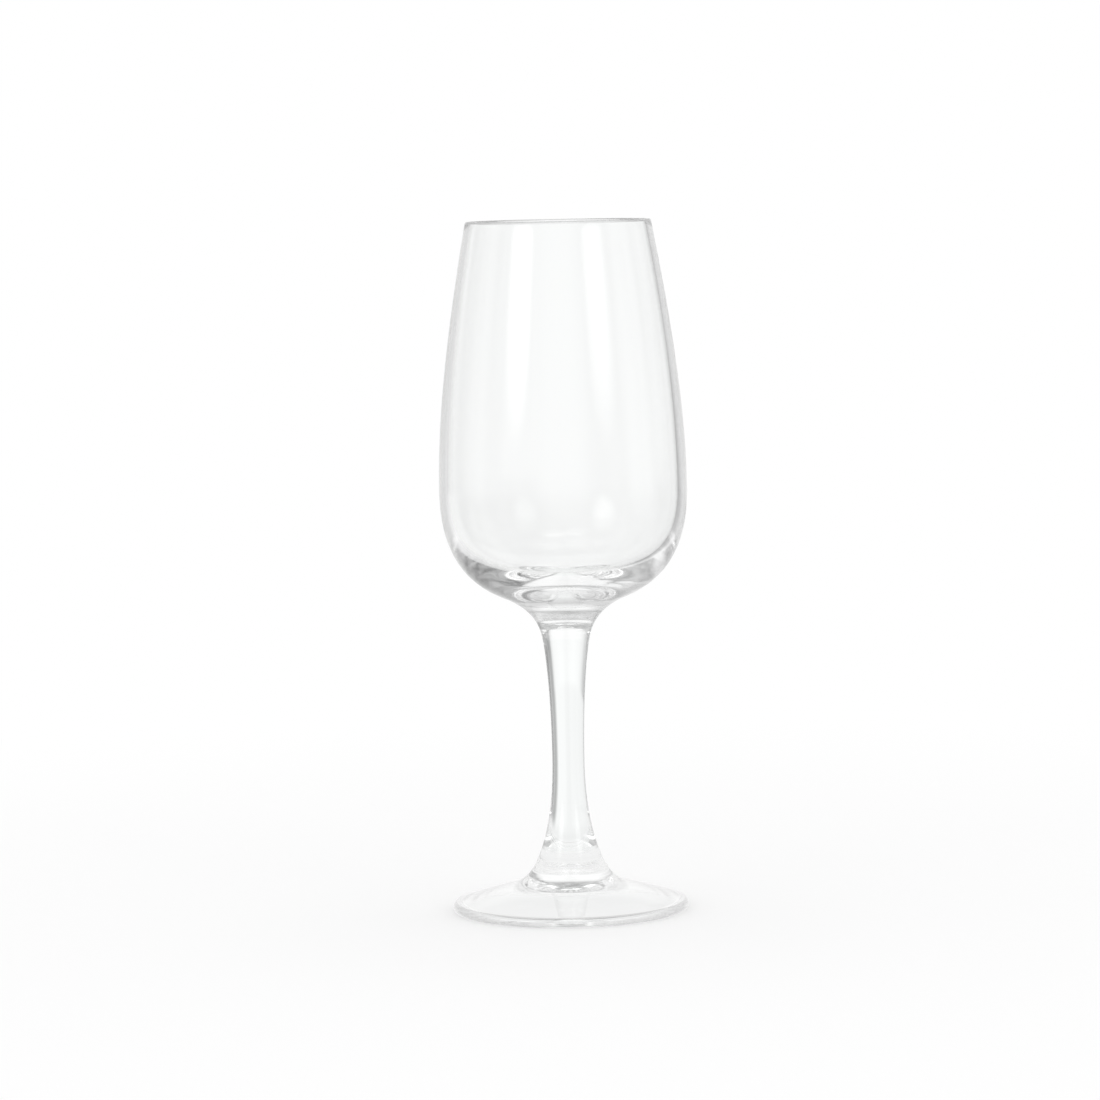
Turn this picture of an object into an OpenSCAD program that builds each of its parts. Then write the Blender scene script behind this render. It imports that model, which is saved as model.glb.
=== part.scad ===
// Sherry glass: a tapered bowl with a drawn-in mouth, on a short stem and a round sloped foot.
// It is three-part stemware. Bowl, stem and foot are pieces of clear glass that are fused end to
// end while hot, so each pair meets on one flat round face.
// Every piece is a body of revolution about +Z, and the foot's rest ring lies on z = 0.

/* [Bowl] */
// Height of the bowl, from the stem to the rim
bowl_h = 90.2; // [80:0.1:105]
// Outside diameter at the rim
rim_d = 40.3; // [34:0.1:48]
// Lean of the wall at the rim, from the vertical
rim_lean = 10.3; // [4:0.1:16]
// Wall thickness at the rim
rim_wall = 1.3; // [0.8:0.05:2]
// Outside diameter of the belly, the widest place
belly_d = 53.7; // [48:0.1:62]
// Height of the belly above the stem
belly_h = 32.2; // [27:0.1:40]
// Wall thickness at the belly
belly_wall = 2; // [1:0.1:3]
// Height of the bowl's inner floor above the stem
well_h = 11.8; // [10.5:0.1:16]
// Outside diameter where the rounded base turns into the flare
turn_d = 26.7; // [20:0.1:32]
// Height of that turn above the stem
turn_h = 8.7; // [7:0.1:10]
// Lean of the outline at the turn, from the vertical
turn_lean = 68; // [55:1:75]

/* [Stem] */
// Length of the stem between its two fused ends
stem_l = 46.2; // [30:0.1:80]
// Diameter of the fused face between bowl and stem
neck_d = 10.4; // [8:0.1:13]
// Lean of the outline at that face, from the vertical
neck_lean = 11; // [4:1:18]
// Diameter of the waist, the thinnest place
waist_d = 7; // [5.5:0.1:7.8]
// Height of the waist above the stem's lower end
waist_h = 19.8; // [12:0.1:22]
// Diameter of the fused face between stem and foot
heel_d = 12.4; // [10:0.1:15]
// Lean of the outline at that face, from the vertical
heel_lean = 19; // [8:1:28]

/* [Foot] */
// Diameter of the foot
foot_d = 51.4; // [44:0.1:66]
// Height of the foot, from the table to the stem
foot_h = 13.6; // [12:0.1:17]
// Thickness of the foot's rounded edge
edge_t = 2.3; // [1.6:0.1:3]
// Slope of the foot's upper side, from the table
foot_slope = 16.4; // [12:0.1:20]
// Diameter at which the hub's hollow curve runs out into that slope
hub_d = 24.8; // [20:0.1:30]
// Width of the flat ring that the glass rests on
rest_w = 1.6; // [0.8:0.1:3]
// Height of the hollow under the foot
dome_h = 5.4; // [3:0.1:6.2]

/* [Hidden] */
clear_glass = [0.87, 0.93, 0.93, 0.35];

// How far each curve holds its first and its last heading, as shares of the way between its ends
lining_shares = [0.32, 0.33];
well_shares = [0.55, 0.46];
wall_shares = [0.33, 0.32];
base_shares = [0.37, 0.43];
flare_shares = [0.33, 0.40];
draw_shares = [0.25, 0.30];
heel_shares = [0.36, 0.32];
hub_shares = [0.38, 0.36];

// Points along one curve, points along one rounding, and sides of a whole turn
curve_steps = 18;
arc_steps = 10;
$fn = 144;

// Headings in an outline, in degrees from straight down, turning outward
down = 0;
outward = 90;
up = 180;
foot_heading = outward - foot_slope;

// Heights of the two fused faces and of the rim above the table
heel_z = foot_h;
neck_z = heel_z + stem_l;
rim_z = neck_z + bowl_h;

// Points of the outlines, as radius and height
lip_r = rim_wall / 2;
lip_mid = [rim_d / 2 - lip_r, rim_z - lip_r];
lip_out = lip_mid + lip_r * spoke(rim_lean);
lip_in = lip_mid - lip_r * spoke(rim_lean);
belly = [belly_d / 2, neck_z + belly_h];
belly_in = belly - [belly_wall, 0];
floor_mid = [0, neck_z + well_h];
turn = [turn_d / 2, neck_z + turn_h];
neck = [neck_d / 2, neck_z];
waist = [waist_d / 2, heel_z + waist_h];
heel = [heel_d / 2, heel_z];
edge_r = edge_t / 2;
edge_mid = [foot_d / 2 - edge_r, edge_r];
slope_end = edge_mid + edge_r * spoke(foot_heading);
hub = [hub_d / 2, slope_end[1] + (slope_end[0] - hub_d / 2) * tan(foot_slope)];
dome_edge_r = edge_mid[0] - rest_w;
dome_r = (pow(dome_edge_r, 2) + pow(dome_h, 2)) / (2 * dome_h);
dome_mid = [0, dome_h - dome_r];

// Direction at an angle above the horizontal
function spoke(angle) = [cos(angle), sin(angle)];

// Direction of a heading
function toward(heading) = [sin(heading), -cos(heading)];

// Smooth curve that leaves p at one heading and reaches q at another.
// It stops one point short of q, where the next stretch of the outline begins.
function curve(p, p_heading, q, q_heading, shares) =
    let (
        way = norm(q - p),
        p_pull = p + toward(p_heading) * way * shares[0],
        q_pull = q - toward(q_heading) * way * shares[1]
    )
    [for (i = [0 : curve_steps - 1]) bezier(p, p_pull, q_pull, q, i / curve_steps)];

// Point at share t of a cubic Bezier curve
function bezier(a, b, c, d, t) =
    a * pow(1 - t, 3) + b * 3 * t * pow(1 - t, 2) + c * 3 * pow(t, 2) * (1 - t) + d * pow(t, 3);

// Circular arc between two angles above the horizontal, one point short of its end
function arc(mid, r, from, to) =
    [for (i = [0 : arc_steps - 1]) mid + r * spoke(from + (to - from) * i / arc_steps)];

// The bowl: inner floor and lining, rounded lip, outer wall, thick base and flare to the stem
module bowl() {
    color(clear_glass)
        rotate_extrude()
            polygon(concat(
                curve(floor_mid, outward, belly_in, up, well_shares),
                curve(belly_in, up, lip_in, up + rim_lean, lining_shares),
                arc(lip_mid, lip_r, up + rim_lean, rim_lean),
                curve(lip_out, rim_lean, belly, down, wall_shares),
                curve(belly, down, turn, -turn_lean, base_shares),
                curve(turn, -turn_lean, neck, -neck_lean, flare_shares),
                [neck, [0, neck_z]]
            ));
}

// The stem: drawn in to a waist, then out to its heel on the foot
module stem() {
    color(clear_glass)
        rotate_extrude()
            polygon(concat(
                [[0, neck_z]],
                curve(neck, -neck_lean, waist, down, draw_shares),
                curve(waist, down, heel, heel_lean, heel_shares),
                [heel, [0, heel_z]]
            ));
}

// The foot: hub, sloped disc with a rounded edge, flat rest ring and hollow underside
module foot() {
    color(clear_glass)
        rotate_extrude()
            polygon(concat(
                [[0, heel_z]],
                curve(heel, heel_lean, hub, foot_heading, hub_shares),
                [hub],
                arc(edge_mid, edge_r, foot_heading, -outward),
                [[edge_mid[0], 0]],
                arc(dome_mid, dome_r, asin(-dome_mid[1] / dome_r), outward),
                [[0, dome_h]]
            ));
}

bowl();
stem();
foot();
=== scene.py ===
"""Sherry glass: a bowl, a stem and a foot of clear glass, fused end to end, on a pale floor."""

import math

import bpy
from bpy.props import FloatProperty, FloatVectorProperty, IntProperty, PointerProperty
from bpy.types import Operator, Panel, PropertyGroup
from mathutils import Matrix, Vector


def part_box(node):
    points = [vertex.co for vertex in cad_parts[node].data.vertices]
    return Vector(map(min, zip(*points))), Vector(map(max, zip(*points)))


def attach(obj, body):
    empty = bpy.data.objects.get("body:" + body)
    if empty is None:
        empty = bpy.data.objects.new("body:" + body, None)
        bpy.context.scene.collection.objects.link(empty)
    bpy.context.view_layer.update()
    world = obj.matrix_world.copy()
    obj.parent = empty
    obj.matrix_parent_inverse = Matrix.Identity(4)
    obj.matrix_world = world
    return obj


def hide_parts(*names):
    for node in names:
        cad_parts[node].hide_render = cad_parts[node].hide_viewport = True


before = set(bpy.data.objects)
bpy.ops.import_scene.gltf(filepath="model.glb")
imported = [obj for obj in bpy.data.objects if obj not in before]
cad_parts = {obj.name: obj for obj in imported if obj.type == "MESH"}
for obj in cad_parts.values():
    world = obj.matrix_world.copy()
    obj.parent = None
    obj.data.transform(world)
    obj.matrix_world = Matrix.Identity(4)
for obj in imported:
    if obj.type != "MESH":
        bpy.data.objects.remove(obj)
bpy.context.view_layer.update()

bl_info = {
    "name": "Sherry glass",
    "version": (1, 0, 0),
    "blender": (4, 5, 0),
    "location": "View3D > Sidebar > Glass",
    "description": "Draws a sherry glass in three fused pieces and sets it on a studio floor",
    "category": "Add Mesh",
}

MM = 0.001

# Headings in an outline, as angles from straight down that turn outward
DOWN = 0.0
OUTWARD = math.radians(90)
UP = math.radians(180)
INWARD = math.radians(-90)

# Straight up, as an angle above the horizontal
STRAIGHT_UP = math.radians(90)

# Where the frame puts the two welds, the rim, the belly and the edge of the foot
BOWL_LOW, BOWL_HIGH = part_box("bowl")
_, FOOT_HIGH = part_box("foot")
HEEL_Z = FOOT_HIGH.z
NECK_Z = BOWL_LOW.z
RIM_Z = BOWL_HIGH.z
BELLY_R = BOWL_HIGH.x
FOOT_R = FOOT_HIGH.x

# How far each curve holds its first and its last heading, as shares of the way between its ends
LINING_SHARES = (0.32, 0.33)
WALL_SHARES = (0.33, 0.32)
BASE_SHARES = (0.37, 0.43)
FLARE_SHARES = (0.33, 0.40)
DRAW_SHARES = (0.25, 0.30)
HEEL_SHARES = (0.36, 0.32)
HUB_SHARES = (0.38, 0.36)
EVEN_SHARES = (0.33, 0.33)

# What a whole curve's steps are divided by for a rounding, for the slope and for the rest ring
ROUND_CUT = 2
SLOPE_CUT = 3
RING_CUT = 6

# Faint rings left by the maker's tool: from where to where above the weld, then pitch and depth
NECK_MARKS = (0 * MM, 6 * MM, 1.3 * MM, 0.015 * MM)
HUB_MARKS = (-7 * MM, -1.5 * MM, 1.4 * MM, 0.06 * MM)

# Radius under which a point counts as on the axis
ON_AXIS = 0.000001 * MM

# Place that a ramp's new stop has until it gets its own
UNSET = 0.5

# Where a Mix node keeps its two colours and their mix, after the sockets for other kinds of values
MIX_COLOURS = slice(6, 8)
MIX_RESULT = 2

# Colour of the glass as it turns from facing to edge-on, on the lining, on the lip and the foot's
# edge, and on the outside of each piece. Its grey towards edge-on is painted shade, which darkens
# the outlines; the stem is also a little grey-blue where it faces
CLEAR = (0.99, 0.995, 0.993)
PAINTED_EDGE_SHADES = {
    "lining": ((0.0, CLEAR), (1.0, (0.97, 0.975, 0.973))),
    # The lip and the foot's rounded edge: a darker painted shade that draws their outline
    "edge": ((0.0, 0.95), (0.1, 0.9), (0.3, 0.7), (0.6, 0.55), (1.0, 0.55)),
    "bowl": (
        (0.0, CLEAR), (0.58, CLEAR), (0.64, 0.7), (0.7, 0.44), (0.84, 0.33), (0.92, 0.36), (1.0, 0.5),
    ),
    "stem": (
        (0.0, (0.965, 0.98, 0.975)), (0.5, (0.95, 0.965, 0.96)), (0.62, 0.78), (0.72, 0.5), (1.0, 0.38),
    ),
    "foot": ((0.0, CLEAR), (0.7, CLEAR), (0.82, 0.8), (0.92, 0.55), (1.0, 0.55)),
}

# Share of lamp light that one side of the glass lets through, from facing to edge-on
LAMP_SHADE = ((0.0, 0.98), (0.5, 0.93), (1.0, 0.5))

# The draw in the surface: how fine and how detailed it is, how strong and high its relief is,
# and how rough the polish gets where it is highest
DRAW_SCALE = 45.0
DRAW_DETAIL = 2.0
DRAW_STRENGTH = 0.25
DRAW_HEIGHT = 0.02 * MM
DRAW_ROUGHNESS = 0.004

# Grey that bent rays meet round the glass, by bearing in degrees from straight ahead, with left
# below zero
ROOM = (
    # The room behind the camera, and the left flats
    (-180, 0.68), (-135, 0.64), (-102, 0.5), (-66, 0.45), (-58, 0.5), (-50, 0.56), (-40, 0.78),
    # The white backdrop, a little brighter beside its middle
    (-33, 0.93), (-25, 1.0), (-12, 1.03), (-6, 1.02), (-2, 0.985),
    (2, 0.985), (6, 1.02), (12, 1.03), (25, 1.0),
    # The right flats, and the room behind the camera again
    (31, 0.84), (36, 0.46), (41, 0.36), (98, 0.36), (118, 0.6), (180, 0.68),
)

# The same on the floor near the glass, which is paler where the flats don't reach
NEAR_ROOM = (
    (-180, 0.7), (-115, 0.55), (-100, 0.5), (-70, 0.5), (-60, 0.9),
    (-28, 0.96), (-6, 0.96), (-2, 0.93), (3, 0.94), (8, 0.99), (26, 1.0),
    (36, 0.46), (42, 0.38), (98, 0.38), (110, 0.6), (118, 0.96), (152, 0.96), (162, 0.7), (180, 0.7),
)

# Grey right under the glass, painted pale for bent rays in place of its shadow, and grey overhead
# with the rise in degrees over which it comes in
UNDER = 0.9
OVERHEAD = 0.54
OVERHEAD_RISE = (24, 50)

# How much the darker places of the room vary, how finely and in how much detail, and the middle
# value of the noise that varies them
CLUTTER = 1.6
CLUTTER_SCALE = 5.0
CLUTTER_DETAIL = 3.0
NOISE_MIDDLE = 0.5

# Low windows in the left flats and behind the camera: bearing, rise and half breadth in degrees
WINDOWS = ((-90, 0, 22), (180, 0, 34))
WINDOW_GREY = 0.97

# Soft lights that show in the glass: bearing, rise and half breadth in degrees, and brightness added
GLOWS = ((-135, 17, 16, 1.9), (138, 17, 16, 1.5), (-158, 56, 14, 1.6), (160, 60, 14, 1.6))

# Share of a glow's half breadth within which it is full
GLOW_CORE = 0.25

# Lamps that light the floor: name, bearing from the camera and rise in degrees, brightness, and
# width and height in metres
LAMPS = (
    ("softbox_left", -45, 28, 1.25, 0.4, 0.6),
    ("softbox_right", 42, 28, 1.25, 0.4, 0.6),
    ("softbox_top", 170, 80, 1.4, 0.8, 0.8),
)
LAMP_DISTANCE = 1.2
LAMP_AIM_Z = 0.1

# Grey of the light that the room sheds on the floor
ROOM_LIGHT = 0.85

# The floor's half breadth, and the distances from the glass over which the grey under it ends,
# its shadow fades to white and the near pattern turns into the room's
FLOOR_HALF = 30.0
UNDER_ENDS = (0.03, 0.05)
SHADOW_ENDS = (0.06, 0.35)
NEAR_ENDS = (0.8, 1.4)

# The camera: sensor and lens in millimetres, place, height that it aims at and roll in degrees
SENSOR = 36.0
LENS = 147.76
CAMERA_SIDE = -3.085 * MM
CAMERA_AWAY = 0.975
CAMERA_Z = 0.1626
CAMERA_AIM_Z = 0.0787
CAMERA_ROLL = 1.15

# How often a ray may be bent or mirrored, so that none ends dark in the thick base
BOUNCES = 96


def length(name, description, millimetres):
    """A size that a user may set, in metres."""
    return FloatProperty(
        name=name, description=description, default=millimetres * MM, unit="LENGTH", precision=5
    )


def angle(name, description, degrees):
    """An angle that a user may set."""
    return FloatProperty(
        name=name, description=description, default=math.radians(degrees), subtype="ANGLE"
    )


def share(name, description, value):
    """A share of a curve's way that a user may set."""
    return FloatProperty(name=name, description=description, default=value, min=0.0, max=1.0)


def shade(name, description, value):
    """A colour that a user may set."""
    return FloatVectorProperty(
        name=name, description=description, default=value, subtype="COLOR", size=3, min=0.0, max=1.0
    )


class BowlSizes(PropertyGroup):
    """Sizes of the bowl that the frame's box doesn't give."""
    rim_d: length("Rim", "Outside diameter at the rim", 40.3)
    rim_lean: angle("Rim lean", "Lean of the wall at the rim, from the vertical", 10.3)
    rim_wall: length("Rim wall", "Wall thickness at the rim", 1.3)
    belly_h: length("Belly height", "Height of the widest place above the stem", 32.2)
    belly_wall: length("Belly wall", "Wall thickness at the belly", 2.0)
    well_h: length("Well height", "Height of the inner floor above the stem", 11.8)
    well_flat: share("Well flatness", "How far the inner floor runs out before it rises", 0.55)
    well_full: share("Well fullness", "How far the lining drops before it turns in to the floor", 0.46)
    turn_d: length("Turn", "Outside diameter where the base turns into the flare", 26.7)
    turn_h: length("Turn height", "Height of that turn above the stem", 8.7)
    turn_lean: angle("Turn lean", "Lean of the outline at the turn, from the vertical", 68)


class StemSizes(PropertyGroup):
    """Sizes of the stem and of its two welds."""
    neck_d: length("Neck", "Diameter of the weld between bowl and stem", 10.4)
    neck_lean: angle("Neck lean", "Lean of the outline at the neck, from the vertical", 11)
    waist_d: length("Waist", "Diameter of the thinnest place", 7.0)
    waist_h: length("Waist height", "Height of the waist above the foot", 19.8)
    heel_d: length("Heel", "Diameter of the weld between stem and foot", 12.4)
    heel_lean: angle("Heel lean", "Lean of the outline at the heel, from the vertical", 19)


class FootSizes(PropertyGroup):
    """Sizes of the foot that the frame's box doesn't give."""
    edge_t: length("Edge", "Thickness of the rounded edge", 2.3)
    foot_slope: angle("Slope", "Slope of the upper side, from the table", 16.4)
    hub_d: length("Hub", "Diameter at which the hub's curve runs out into the slope", 24.8)
    rest_w: length("Rest ring", "Width of the flat ring that the glass stands on", 1.6)
    dome_h: length("Hollow", "Height of the hollow under the foot", 5.4)
    ring_round: length("Ring rounding", "Width of the rounding between ring and hollow", 0.5)


class GlassFinish(PropertyGroup):
    """How finely the glass is drawn, and how strongly it bends light."""
    sides: IntProperty(name="Sides", description="Steps of one whole turn", default=192, min=48)
    steps: IntProperty(name="Steps", description="Steps along one curve of an outline", default=36, min=8)
    ior: FloatProperty(name="Index", description="Index of refraction of the glass", default=1.5)


class StudioSet(PropertyGroup):
    """The floor that the glass stands on."""
    floor_colour: shade("Floor", "Colour of the floor", (0.93, 0.93, 0.93))


def spoke(turn):
    """Direction at an angle above the horizontal, as radius and height."""
    return Vector((math.cos(turn), math.sin(turn)))


def toward(heading):
    """Direction of a heading, as radius and height."""
    return Vector((math.sin(heading), -math.cos(heading)))


def curve(p, p_heading, q, q_heading, shares, steps):
    """Smooth curve that leaves p at one heading and reaches q at another, one point short of q."""
    way = (q - p).length
    p_pull = p + toward(p_heading) * way * shares[0]
    q_pull = q - toward(q_heading) * way * shares[1]
    return [bezier(p, p_pull, q_pull, q, i / steps) for i in range(steps)]


def bezier(a, b, c, d, t):
    """Point at share t of a cubic Bezier curve."""
    s = 1 - t
    return a * s**3 + b * (3 * t * s**2) + c * (3 * t**2 * s) + d * t**3


def arc(mid, r, start, end, steps):
    """Circular arc between two angles above the horizontal, one point short of its end."""
    return [mid + r * spoke(start + (end - start) * i / steps) for i in range(steps)]


def bowl_outline(sizes, steps):
    """Inner floor, lining, lip, wall, base and flare, down to the neck."""
    bowl, stem = sizes.glass_bowl, sizes.glass_stem
    lip_r = bowl.rim_wall / 2
    lip_mid = Vector((bowl.rim_d / 2 - lip_r, RIM_Z - lip_r))
    lip_out = lip_mid + lip_r * spoke(bowl.rim_lean)
    lip_in = lip_mid - lip_r * spoke(bowl.rim_lean)
    belly = Vector((BELLY_R, NECK_Z + bowl.belly_h))
    belly_in = belly - Vector((bowl.belly_wall, 0))
    floor_mid = Vector((0, NECK_Z + bowl.well_h))
    turn = Vector((bowl.turn_d / 2, NECK_Z + bowl.turn_h))
    neck = Vector((stem.neck_d / 2, NECK_Z))
    return (
        curve(floor_mid, OUTWARD, belly_in, UP, (bowl.well_flat, bowl.well_full), steps)
        + curve(belly_in, UP, lip_in, UP + bowl.rim_lean, LINING_SHARES, steps)
        + arc(lip_mid, lip_r, UP + bowl.rim_lean, bowl.rim_lean, steps // ROUND_CUT)
        + curve(lip_out, bowl.rim_lean, belly, DOWN, WALL_SHARES, steps)
        + curve(belly, DOWN, turn, -bowl.turn_lean, BASE_SHARES, steps)
        + curve(turn, -bowl.turn_lean, neck, -stem.neck_lean, FLARE_SHARES, steps)
    )


def stem_outline(sizes, steps):
    """From the neck through the waist to the heel."""
    stem = sizes.glass_stem
    neck = Vector((stem.neck_d / 2, NECK_Z))
    waist = Vector((stem.waist_d / 2, HEEL_Z + stem.waist_h))
    heel = Vector((stem.heel_d / 2, HEEL_Z))
    return (
        curve(neck, -stem.neck_lean, waist, DOWN, DRAW_SHARES, steps)
        + curve(waist, DOWN, heel, stem.heel_lean, HEEL_SHARES, steps)
    )


def foot_outline(sizes, steps):
    """Hub, slope, rounded edge, rest ring and the hollow, in to the axis."""
    stem, foot = sizes.glass_stem, sizes.glass_foot
    slope_heading = OUTWARD - foot.foot_slope
    edge_r = foot.edge_t / 2
    edge_mid = Vector((FOOT_R - edge_r, edge_r))
    slope_end = edge_mid + edge_r * spoke(slope_heading)
    heel = Vector((stem.heel_d / 2, HEEL_Z))
    hub_r = foot.hub_d / 2
    hub = Vector((hub_r, slope_end.y + (slope_end.x - hub_r) * math.tan(foot.foot_slope)))
    dome_edge_r = edge_mid.x - foot.rest_w
    dome_r = (dome_edge_r**2 + foot.dome_h**2) / (2 * foot.dome_h)
    dome_mid = Vector((0, foot.dome_h - dome_r))
    half_round = foot.ring_round / 2
    ring_edge = Vector((dome_edge_r + half_round, 0))
    dome_from = math.asin(-dome_mid.y / dome_r) + half_round / dome_r
    dome_edge = dome_mid + dome_r * spoke(dome_from)
    dome_heading = INWARD + dome_from - STRAIGHT_UP
    ring_steps = steps // RING_CUT
    return (
        curve(heel, stem.heel_lean, hub, slope_heading, HUB_SHARES, steps)
        + curve(hub, slope_heading, slope_end, slope_heading, EVEN_SHARES, steps // SLOPE_CUT)
        + arc(edge_mid, edge_r, slope_heading, INWARD, steps // ROUND_CUT)
        + curve(Vector((edge_mid.x, 0)), INWARD, ring_edge, INWARD, EVEN_SHARES, ring_steps)
        + curve(ring_edge, INWARD, dome_edge, dome_heading, EVEN_SHARES, ring_steps)
        + arc(dome_mid, dome_r, dome_from, STRAIGHT_UP, steps)
        + [dome_mid + dome_r * spoke(STRAIGHT_UP)]
    )


def tool_marks(line, first, last, weld_z, marks):
    """Presses faint rings into the points first to last of an outline, near the height of a weld."""
    start, end, pitch, depth = marks
    low, high = weld_z + start, weld_z + end
    for i in range(first, last):
        r, z = line[i]
        if low < z < high:
            fade = math.sin(math.pi * (z - low) / (high - low))
            ring = 0.5 - 0.5 * math.cos(2 * math.pi * (z - low) / pitch)
            line[i] = Vector((r - depth * fade * ring, z))


def slope_between(before, here, after):
    """Direction of a line of points at its middle one, whatever the two spacings are."""
    back = (here - before).length
    ahead = (after - here).length
    return ((after - here) * (back / ahead) + (here - before) * (ahead / back)).normalized()


def turned_rings(line, first, last, sides):
    """Points and normals of each ring, and the numbers of its points, which are all one on the axis.

    The whole line starts on the bowl's inner floor, which faces up, and ends under the foot.
    """
    verts, normals, rings = [], [], []
    for i in range(first, last + 1):
        r, z = line[i]
        if r < ON_AXIS:
            rings.append([len(verts)] * sides)
            verts.append(Vector((0, 0, z)))
            normals.append(Vector((0, 0, 1 if i == 0 else -1)))
            continue
        along = slope_between(line[i - 1], line[i], line[i + 1])
        rings.append(range(len(verts), len(verts) + sides))
        for k in range(sides):
            turn = 2 * math.pi * k / sides
            verts.append(Vector((r * math.cos(turn), r * math.sin(turn), z)))
            normals.append(Vector((-along.y * math.cos(turn), -along.y * math.sin(turn), along.x)))
    return verts, normals, rings


def skin(rings, sides):
    """Faces between each ring and the next, which are triangles at the axis."""
    faces = []
    for low, high in zip(rings, rings[1:]):
        for k in range(sides):
            n = (k + 1) % sides
            face = [low[k], high[k], high[n], low[n]]
            faces.append(tuple(dict.fromkeys(face)))
    return faces


def weld_fan(hub, ring, facing):
    """Triangles from a point on the axis to a ring, facing up or down."""
    ahead = [*ring[1:], ring[0]]
    pairs = zip(ring, ahead) if facing > 0 else zip(ahead, ring)
    return [(hub, here, there) for here, there in pairs]


def lathe(line, first, last, sides):
    """Turns points first to last of the glass's whole outline about the axis.

    Each end that isn't on the axis is closed by a weld face. The normals come from the whole
    outline, so they run on over the welds.
    """
    verts, normals, rings = turned_rings(line, first, last, sides)
    faces = skin(rings, sides)
    corner_normals = [normals[v] for face in faces for v in face]
    welds = []
    for ring, facing in ((rings[0], 1), (rings[-1], -1)):
        if len(set(ring)) == 1:
            continue
        fan = weld_fan(len(verts), ring, facing)
        verts.append(Vector((0, 0, verts[ring[0]].z)))
        welds += fan
        corner_normals += [Vector((0, 0, facing))] * (3 * len(fan))
    return verts, faces, welds, corner_normals


def make_piece(name, sizes, bands):
    """Makes one turned piece of glass, as a closed mesh in place of its CAD node.

    Bands are stretches of its outline, each with its number of rings and its look in PAINTED_EDGE_SHADES. The
    last band runs on to the end.
    """
    finish = sizes.glass_finish
    line, spans = whole_line(sizes)
    verts, faces, welds, corner_normals = lathe(line, *spans[name], finish.sides)
    mesh = bpy.data.meshes.new(name)
    mesh.from_pydata(verts, [], faces + welds)
    looks = list(dict.fromkeys(look for rings, look in bands))
    for look in looks:
        mesh.materials.append(clear_glass(look, finish))
    mesh.materials.append(weld_face())
    slots = [looks.index(look) for rings, look in bands for i in range(rings * finish.sides)]
    slots += [slots[-1]] * (len(faces) - len(slots)) + [len(looks)] * len(welds)
    for face, slot in zip(mesh.polygons, slots):
        face.use_smooth = True
        face.material_index = slot
    mesh.update()
    mesh.normals_split_custom_set(corner_normals)
    piece = bpy.data.objects.new(name + "_glass", mesh)
    bpy.context.scene.collection.objects.link(piece)
    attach(piece, "root")
    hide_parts(name)


def whole_line(sizes):
    """The outline of the whole glass, and each piece's first and last point in it."""
    steps = sizes.glass_finish.steps
    bowl = bowl_outline(sizes, steps)
    stem = stem_outline(sizes, steps)
    foot = foot_outline(sizes, steps)
    tool_marks(bowl, len(bowl) - steps, len(bowl), NECK_Z, NECK_MARKS)
    tool_marks(foot, 1, steps, HEEL_Z, HUB_MARKS)
    line = bowl + stem + foot
    stem_from = len(bowl)
    foot_from = stem_from + len(stem)
    last = len(line) - 1
    return line, {"bowl": (0, stem_from), "stem": (stem_from, foot_from), "foot": (foot_from, last)}


def node(tree, kind, **values):
    """Adds a shader node and sets its options and inputs."""
    made = tree.nodes.new(kind)
    for key, value in values.items():
        if hasattr(made, key):
            setattr(made, key, value)
        else:
            made.inputs[key].default_value = value
    return made


def math_node(tree, operation, *terms):
    """Adds a step of arithmetic on terms, each a number or an output."""
    made = tree.nodes.new("ShaderNodeMath")
    made.operation = operation
    for socket, value in zip(made.inputs, terms):
        if isinstance(value, (int, float)):
            socket.default_value = value
        else:
            tree.links.new(value, socket)
    return made.outputs[0]


def opaque(value):
    """A colour with full cover, from a grey or a colour."""
    return (value, value, value, 1) if isinstance(value, (int, float)) else (*value, 1)


def ramp(tree, factor, stops):
    """Adds a ramp of greys or colours, from stops of place and colour."""
    made = tree.nodes.new("ShaderNodeValToRGB")
    elements = made.color_ramp.elements
    while len(elements) < len(stops):
        elements.new(UNSET)
    for element, (place, value) in zip(elements, stops):
        element.position = place
        element.color = opaque(value)
    tree.links.new(factor, made.inputs[0])
    return made.outputs[0]


def new_material(name):
    """An empty node material, its tree and its output node."""
    material = bpy.data.materials.new(name)
    material.use_nodes = True
    tree = material.node_tree
    tree.nodes.clear()
    return material, tree, tree.nodes.new("ShaderNodeOutputMaterial")


def clear_glass(look, finish):
    """Fire-polished soda-lime glass with a faint draw, and painted shade where it turns edge-on."""
    name = "clear_glass_" + look
    if name in bpy.data.materials:
        return bpy.data.materials[name]
    material, tree, out = new_material(name)
    links = tree.links
    place = tree.nodes.new("ShaderNodeTexCoord")
    draw = node(tree, "ShaderNodeTexNoise", Scale=DRAW_SCALE, Detail=DRAW_DETAIL)
    links.new(place.outputs["Object"], draw.inputs["Vector"])
    relief = node(tree, "ShaderNodeBump", Strength=DRAW_STRENGTH, Distance=DRAW_HEIGHT)
    links.new(draw.outputs[0], relief.inputs["Height"])
    facing = tree.nodes.new("ShaderNodeLayerWeight").outputs["Facing"]
    shader = tree.nodes.new("ShaderNodeBsdfPrincipled")
    # Painted shade: the base colour greys where the surface turns edge-on
    links.new(ramp(tree, facing, PAINTED_EDGE_SHADES[look]), shader.inputs["Base Color"])
    shader.inputs["Transmission Weight"].default_value = 1.0
    shader.inputs["IOR"].default_value = finish.ior
    links.new(math_node(tree, "MULTIPLY", draw.outputs[0], DRAW_ROUGHNESS), shader.inputs["Roughness"])
    links.new(relief.outputs[0], shader.inputs["Normal"])
    passed = tree.nodes.new("ShaderNodeBsdfTransparent")
    links.new(ramp(tree, facing, LAMP_SHADE), passed.inputs["Color"])
    path = tree.nodes.new("ShaderNodeLightPath")
    lamp_or_floor = math_node(
        tree, "MAXIMUM", path.outputs["Is Shadow Ray"], path.outputs["Is Diffuse Ray"]
    )
    surface = mix_shaders(tree, lamp_or_floor, shader.outputs[0], passed.outputs[0])
    links.new(surface, out.inputs["Surface"])
    return material


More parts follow.
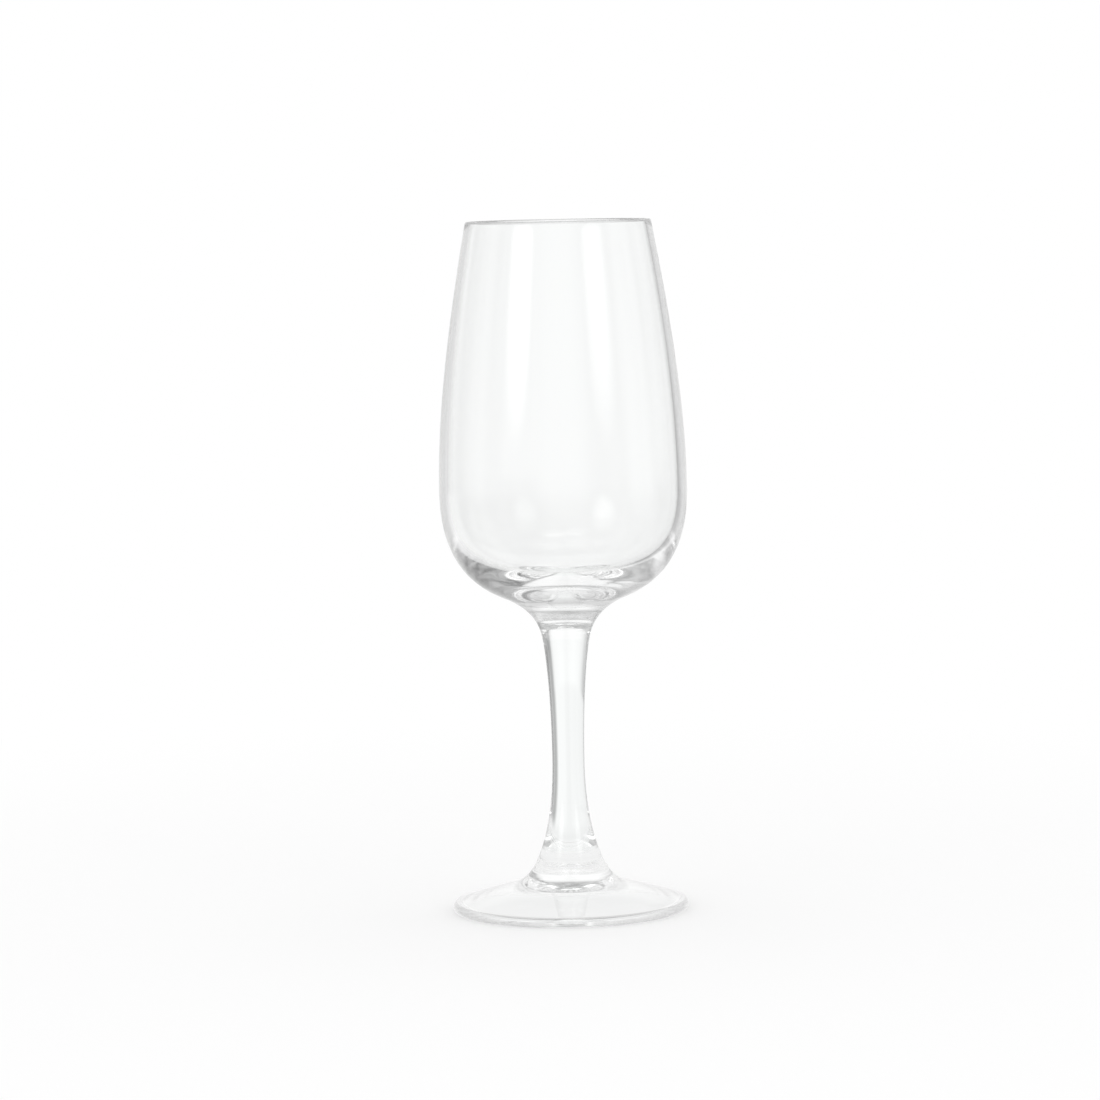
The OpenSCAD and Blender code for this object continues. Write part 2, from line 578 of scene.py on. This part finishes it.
def weld_face():
    """The inside of a weld, where the two pieces are one glass and nothing shows."""
    if "weld_face" in bpy.data.materials:
        return bpy.data.materials["weld_face"]
    material, tree, out = new_material("weld_face")
    through = tree.nodes.new("ShaderNodeBsdfTransparent")
    through.inputs["Color"].default_value = opaque(1.0)
    tree.links.new(through.outputs[0], out.inputs["Surface"])
    return material


class GLASS_OT_bowl(Operator):
    """Draw the bowl with its lip, wall and thick base"""
    bl_idname = "sherry.bowl"
    bl_label = "Bowl"

    def execute(self, context):
        sizes = context.scene
        steps = sizes.glass_finish.steps
        make_piece("bowl", sizes, ((2 * steps, "lining"), (steps // ROUND_CUT, "edge"), (1, "bowl")))
        return {"FINISHED"}


class GLASS_OT_stem(Operator):
    """Draw the stem between its two welds"""
    bl_idname = "sherry.stem"
    bl_label = "Stem"

    def execute(self, context):
        make_piece("stem", context.scene, ((1, "stem"),))
        return {"FINISHED"}


class GLASS_OT_foot(Operator):
    """Draw the foot with its rest ring and the hollow under it"""
    bl_idname = "sherry.foot"
    bl_label = "Foot"

    def execute(self, context):
        sizes = context.scene
        steps = sizes.glass_finish.steps
        upper = steps + steps // SLOPE_CUT
        make_piece("foot", sizes, ((upper, "foot"), (steps // ROUND_CUT, "edge"), (1, "foot")))
        return {"FINISHED"}


def by_bearing(tree, direction, stops):
    """Grey by the bearing of a direction, from stops of degrees and grey."""
    axes = tree.nodes.new("ShaderNodeSeparateXYZ")
    tree.links.new(direction, axes.inputs[0])
    bearing = math_node(tree, "ARCTAN2", axes.outputs["X"], axes.outputs["Y"])
    turn_share = math_node(tree, "MULTIPLY_ADD", bearing, 0.5 / math.pi, 0.5)
    return ramp(tree, turn_share, [(degrees / 360 + 0.5, grey) for degrees, grey in stops])


def room_grey(tree, unit, grey):
    """Varies a grey by direction, as things in a room do, and opens the windows.

    The darker the grey is, the more it varies.
    """
    patches = node(tree, "ShaderNodeTexNoise", Scale=CLUTTER_SCALE, Detail=CLUTTER_DETAIL)
    tree.links.new(unit, patches.inputs["Vector"])
    swing = math_node(tree, "SUBTRACT", patches.outputs[0], NOISE_MIDDLE)
    depth = math_node(tree, "MULTIPLY", math_node(tree, "SUBTRACT", 1.0, grey), CLUTTER)
    varied = math_node(tree, "MULTIPLY_ADD", swing, depth, grey)
    for bearing, rise, half in WINDOWS:
        varied = mix_colours(tree, glow(tree, unit, bearing, rise, half), varied, WINDOW_GREY)
    return varied


def unit_of(tree, vector):
    """A vector at length 1."""
    unit = node(tree, "ShaderNodeVectorMath", operation="NORMALIZE")
    tree.links.new(vector, unit.inputs[0])
    return unit.outputs[0]


def step_between(tree, value, start, end):
    """0 up to start and 1 from end on, with a smooth rise between them."""
    made = node(tree, "ShaderNodeMapRange", interpolation_type="SMOOTHSTEP")
    made.inputs["From Min"].default_value = start
    made.inputs["From Max"].default_value = end
    tree.links.new(value, made.inputs["Value"])
    return made.outputs[0]


def mix_colours(tree, factor, first, second):
    """Mixes two colours, each a grey or an output."""
    made = tree.nodes.new("ShaderNodeMix")
    made.data_type = "RGBA"
    tree.links.new(factor, made.inputs[0])
    for socket, value in zip(made.inputs[MIX_COLOURS], (first, second)):
        if isinstance(value, (int, float)):
            socket.default_value = opaque(value)
        else:
            tree.links.new(value, socket)
    return made.outputs[MIX_RESULT]


def surroundings(tree, direction):
    """Grey of the backdrop and the flats that bent rays meet in one direction."""
    unit = unit_of(tree, direction)
    axes = tree.nodes.new("ShaderNodeSeparateXYZ")
    tree.links.new(unit, axes.inputs[0])
    start, end = (math.sin(math.radians(rise)) for rise in OVERHEAD_RISE)
    above = step_between(tree, axes.outputs["Z"], start, end)
    return room_grey(tree, unit, mix_colours(tree, above, by_bearing(tree, unit, ROOM), OVERHEAD))


def bent_rays(tree):
    """1 for a ray that glass has bent or mirrored, and 0 for any other."""
    path = tree.nodes.new("ShaderNodeLightPath")
    return math_node(tree, "MAXIMUM", path.outputs["Is Glossy Ray"], path.outputs["Is Transmission Ray"])


def white_mirrored(tree, grey):
    """White for a ray that the outside of the glass has mirrored, and the grey for a bent one."""
    path = tree.nodes.new("ShaderNodeLightPath")
    return mix_colours(tree, path.outputs["Is Reflection Ray"], grey, 1.0)


def mix_shaders(tree, factor, first, second):
    """Mixes two shaders."""
    made = tree.nodes.new("ShaderNodeMixShader")
    tree.links.new(factor, made.inputs[0])
    tree.links.new(first, made.inputs[1])
    tree.links.new(second, made.inputs[2])
    return made.outputs[0]


def floor_card(tree, place, distance):
    """Floor grey for bent rays: painted pale under the glass, then the near pattern, then the room's."""
    near = by_bearing(tree, place, NEAR_ROOM)
    beyond = step_between(tree, distance, *NEAR_ENDS)
    whole = mix_colours(tree, beyond, near, by_bearing(tree, place, ROOM))
    varied = room_grey(tree, unit_of(tree, place), whole)
    # Painted light: right under the glass, bent rays see the floor pale in place of its shadow
    beside = step_between(tree, distance, *UNDER_ENDS)
    return white_mirrored(tree, mix_colours(tree, beside, UNDER, varied))


def floor_material(studio):
    """Matte near the glass, plain white further off, and a card of greys for bent rays."""
    material, tree, out = new_material("floor_card")
    links = tree.links
    place = tree.nodes.new("ShaderNodeTexCoord").outputs["Object"]
    far = node(tree, "ShaderNodeVectorMath", operation="LENGTH")
    links.new(place, far.inputs[0])
    distance = far.outputs["Value"]
    matte = tree.nodes.new("ShaderNodeBsdfDiffuse")
    matte.inputs["Color"].default_value = opaque(studio.floor_colour)
    white = node(tree, "ShaderNodeEmission", Strength=1.0)
    faded = step_between(tree, distance, *SHADOW_ENDS)
    seen = mix_shaders(tree, faded, matte.outputs[0], white.outputs[0])
    card = node(tree, "ShaderNodeEmission", Strength=1.0)
    links.new(floor_card(tree, place, distance), card.inputs["Color"])
    links.new(mix_shaders(tree, bent_rays(tree), seen, card.outputs[0]), out.inputs["Surface"])
    return material


def make_floor(studio):
    """A wide pale floor that keeps the glass's soft shadow."""
    mesh = bpy.data.meshes.new("floor")
    corners = [(x * FLOOR_HALF, y * FLOOR_HALF, 0) for x, y in ((-1, -1), (1, -1), (1, 1), (-1, 1))]
    mesh.from_pydata(corners, [], [(0, 1, 2, 3)])
    mesh.materials.append(floor_material(studio))
    floor = bpy.data.objects.new("floor", mesh)
    bpy.context.scene.collection.objects.link(floor)


def glow(tree, direction, bearing, rise, half):
    """1 in the core of a soft light, and 0 at its half breadth and beyond."""
    bearing, rise, half = (math.radians(turn) for turn in (bearing, rise, half))
    way = (math.sin(bearing) * math.cos(rise), math.cos(bearing) * math.cos(rise), math.sin(rise))
    along = node(tree, "ShaderNodeVectorMath", operation="DOT_PRODUCT")
    tree.links.new(direction, along.inputs[0])
    along.inputs[1].default_value = way
    return step_between(tree, along.outputs["Value"], math.cos(half), math.cos(half * GLOW_CORE))


def make_room():
    """The room: white for the camera, and for glass a white backdrop with grey flats beside it."""
    world = bpy.data.worlds.new("room")
    bpy.context.scene.world = world
    world.use_nodes = True
    tree = world.node_tree
    tree.nodes.clear()
    links = tree.links
    out = tree.nodes.new("ShaderNodeOutputWorld")
    direction = tree.nodes.new("ShaderNodeTexCoord").outputs["Generated"]
    room = tree.nodes.new("ShaderNodeBackground")
    path = tree.nodes.new("ShaderNodeLightPath")
    links.new(white_mirrored(tree, surroundings(tree, direction)), room.inputs["Color"])
    strength = 1.0
    for bearing, rise, half, bright in GLOWS:
        spot = glow(tree, direction, bearing, rise, half)
        strength = math_node(tree, "MULTIPLY_ADD", spot, bright, strength)
    links.new(strength, room.inputs["Strength"])
    plain = tree.nodes.new("ShaderNodeBackground")
    plain.inputs["Color"].default_value = opaque(1.0)
    lit = tree.nodes.new("ShaderNodeBackground")
    lit.inputs["Color"].default_value = opaque(ROOM_LIGHT)
    inner = mix_shaders(tree, bent_rays(tree), lit.outputs[0], room.outputs[0])
    seen = mix_shaders(tree, path.outputs["Is Camera Ray"], inner, plain.outputs[0])
    links.new(seen, out.inputs["Surface"])


def make_softbox(name, bearing, rise, radiance, width, height):
    """A soft lamp of one brightness that faces the glass."""
    lamp = bpy.data.lights.new(name, "AREA")
    lamp.shape = "RECTANGLE"
    lamp.size = width
    lamp.size_y = height
    lamp.energy = radiance * math.pi * width * height
    holder = bpy.data.objects.new(name, lamp)
    bpy.context.scene.collection.objects.link(holder)
    level = math.cos(rise)
    way = Vector((math.sin(bearing) * level, -math.cos(bearing) * level, math.sin(rise)))
    holder.location = Vector((0, 0, LAMP_AIM_Z)) + way * LAMP_DISTANCE
    holder.rotation_euler = (-way).to_track_quat("-Z", "Y").to_euler()
    holder.visible_glossy = False
    holder.visible_transmission = False


def make_camera():
    """The camera in front of the glass, a little above its rim, rolled a little to one side."""
    data = bpy.data.cameras.new("camera")
    camera = bpy.data.objects.new("camera", data)
    bpy.context.scene.collection.objects.link(camera)
    bpy.context.scene.camera = camera
    data.sensor_width = SENSOR
    data.lens = LENS
    dip = math.atan2(CAMERA_Z - CAMERA_AIM_Z, CAMERA_AWAY)
    tilt = Matrix.Rotation(STRAIGHT_UP - dip, 4, "X")
    roll = Matrix.Rotation(-math.radians(CAMERA_ROLL), 4, "Z")
    camera.matrix_world = Matrix.Translation((CAMERA_SIDE, -CAMERA_AWAY, CAMERA_Z)) @ tilt @ roll


class GLASS_OT_studio(Operator):
    """Lay the floor and set up the room, the lamps and the camera"""
    bl_idname = "sherry.studio"
    bl_label = "Studio"

    def execute(self, context):
        scene = context.scene
        make_floor(scene.glass_studio)
        make_room()
        for name, bearing, rise, radiance, width, height in LAMPS:
            make_softbox(name, math.radians(bearing), math.radians(rise), radiance, width, height)
        make_camera()
        scene.view_settings.view_transform = "Standard"
        scene.cycles.max_bounces = BOUNCES
        scene.cycles.transmission_bounces = BOUNCES
        scene.cycles.glossy_bounces = BOUNCES
        scene.cycles.transparent_max_bounces = BOUNCES
        scene.cycles.use_denoising = True
        return {"FINISHED"}


class GLASS_PT_bench(Panel):
    """Lists the steps that make the glass and its studio"""
    bl_label = "Sherry glass"
    bl_idname = "GLASS_PT_bench"
    bl_space_type = "VIEW_3D"
    bl_region_type = "UI"
    bl_category = "Glass"

    def draw(self, context):
        for step in STEPS:
            self.layout.operator(step.bl_idname)


GROUPS = {
    "glass_bowl": BowlSizes,
    "glass_stem": StemSizes,
    "glass_foot": FootSizes,
    "glass_finish": GlassFinish,
    "glass_studio": StudioSet,
}
STEPS = (GLASS_OT_bowl, GLASS_OT_stem, GLASS_OT_foot, GLASS_OT_studio)


def register():
    """Adds the settings, the steps and the panel."""
    for name, group in GROUPS.items():
        bpy.utils.register_class(group)
        setattr(bpy.types.Scene, name, PointerProperty(type=group))
    for step in STEPS:
        bpy.utils.register_class(step)
    bpy.utils.register_class(GLASS_PT_bench)


def unregister():
    """Takes the panel, the steps and the settings away again."""
    bpy.utils.unregister_class(GLASS_PT_bench)
    for step in reversed(STEPS):
        bpy.utils.unregister_class(step)
    for name, group in reversed(GROUPS.items()):
        delattr(bpy.types.Scene, name)
        bpy.utils.unregister_class(group)


def main():
    """Makes the glass and its studio."""
    register()
    bpy.ops.sherry.bowl()
    bpy.ops.sherry.stem()
    bpy.ops.sherry.foot()
    bpy.ops.sherry.studio()


if __name__ == "__main__":
    main()
